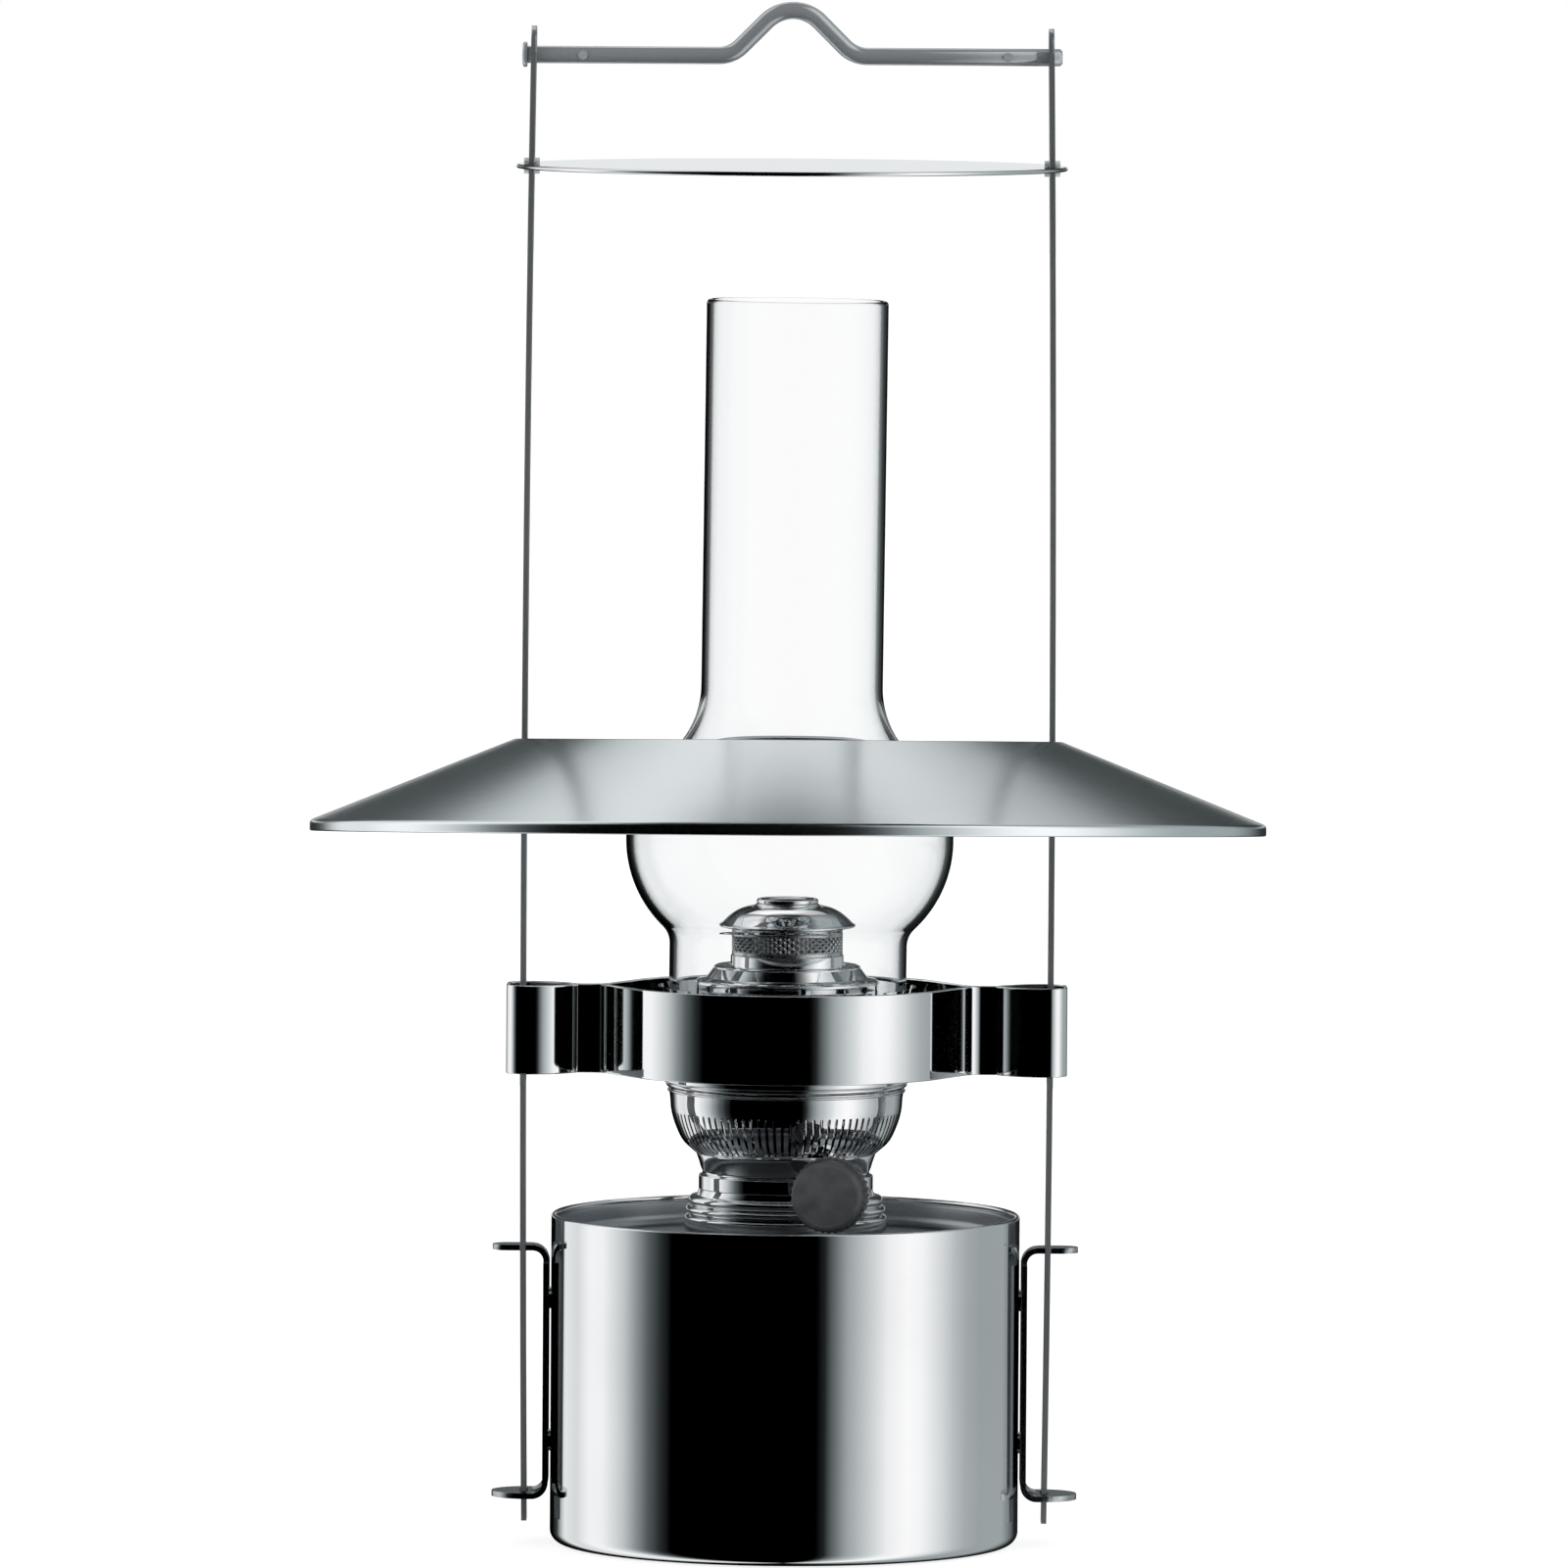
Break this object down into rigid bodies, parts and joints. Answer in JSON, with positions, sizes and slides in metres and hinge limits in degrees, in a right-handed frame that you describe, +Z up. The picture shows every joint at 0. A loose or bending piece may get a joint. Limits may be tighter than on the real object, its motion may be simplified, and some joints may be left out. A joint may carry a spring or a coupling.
{
  "type": "hanging oil lamp",
  "caption": "Hanging oil lamp: round tank, round-wick burner with raising knob, bulged glass chimney, conical shade, smoke disc and swinging hanger bar.",
  "frame": {"origin": "centre of the tank's underside, on the lamp's vertical axis", "axes": "+Z up the lamp, +X from the left strip to the right strip, -Y to the side with the knob"},
  "size_m": [0.2674, 0.267, 0.4314],
  "materials": {
    "polished_steel": "mirror polished stainless steel sheet",
    "satin_steel": "satin stainless steel",
    "pin_steel": "bright steel pins",
    "burner_chrome": "chrome plated burner metal",
    "spreader_mesh": "perforated metal, dull grey from heat",
    "burner_brass": "plain brass inside the burner",
    "clear_glass": "clear blown glass",
    "knob_plastic": "charcoal heat-proof moulding with a fine grain",
    "wick_cotton": "woven cotton",
    "gasket_rubber": "matt rubber"
  },
  "bodies": {
    "lamp_frame": {"tank_shell": "polished_steel", "tank_deck": "satin_steel", "tank_collar": "burner_brass", "collar_gasket": "gasket_rubber", "bracket_left": "satin_steel", "bracket_right": "satin_steel", "bracket_welds": "satin_steel", "strip_left": "satin_steel", "strip_right": "satin_steel", "shade_pins": "pin_steel", "disc_pins": "pin_steel", "burner_base": "burner_chrome", "burner_neck": "burner_chrome", "burner_bowl": "burner_chrome", "chimney_gallery": "burner_chrome", "air_cone": "burner_chrome", "outer_wick_tube": "burner_chrome", "inner_wick_tube": "burner_brass", "spindle_gland": "burner_chrome", "gland_nut": "burner_chrome", "spindle_bearing": "burner_brass"},
    "wick_knob": {"spindle": "pin_steel", "sprocket": "burner_brass", "knob": "knob_plastic"},
    "wick_unit": {"wick_carrier": "burner_brass", "wick": "wick_cotton"},
    "flame_spreader": {"spreader_cap": "burner_chrome", "spreader_button": "burner_chrome", "spreader_thimble": "spreader_mesh", "spreader_stem": "spreader_mesh"},
    "glass_chimney": {"chimney": "clear_glass"},
    "lamp_shade": {"shade": "polished_steel"},
    "top_disc": {"smoke_disc": "satin_steel"},
    "hanger": {"hanger_bar": "satin_steel", "hanger_head": "satin_steel", "stop_pins": "pin_steel"},
    "band_ring": {"ring_front_band": "polished_steel", "ring_back_band": "polished_steel", "ring_welds": "satin_steel"}
  },
  "joints": [
    {"name": "knob_turn", "type": "hinge", "parent": "lamp_frame", "child": "wick_knob", "pos_m": [0.01865, -0.00309, 0.1013], "axis": [0.1633, 0.9866, 0], "range_deg": [0, 165]},
    {"name": "wick_lift", "type": "slide", "parent": "lamp_frame", "child": "wick_unit", "axis": [0, 0, 1], "range_m": [0, 0.00979]},
    {"name": "spreader_lift", "type": "slide", "parent": "lamp_frame", "child": "flame_spreader", "axis": [0, 0, 1], "range_m": [0, 0.025]},
    {"name": "chimney_lift", "type": "slide", "parent": "lamp_frame", "child": "glass_chimney", "axis": [0, 0, 1], "range_m": [0, 0.03]},
    {"name": "ring_slide", "type": "slide", "parent": "lamp_frame", "child": "band_ring", "axis": [0, 0, 1], "range_m": [0, 0.015]},
    {"name": "shade_rock", "type": "hinge", "parent": "lamp_frame", "child": "lamp_shade", "pos_m": [0, 0, 0.2231], "axis": [1, 0, 0], "range_deg": [-0.5, 7.5]},
    {"name": "disc_rock", "type": "hinge", "parent": "lamp_frame", "child": "top_disc", "pos_m": [0, 0, 0.3853], "axis": [1, 0, 0], "range_deg": [-3, 3]},
    {"name": "hanger_swing", "type": "hinge", "parent": "lamp_frame", "child": "hanger", "pos_m": [0, 0, 0.4163], "axis": [1, 0, 0], "continuous": true}
  ],
  "couplings": [
    {"joint": "knob_turn", "follows": "wick_lift", "rad_per_m": 294.12}
  ]
}
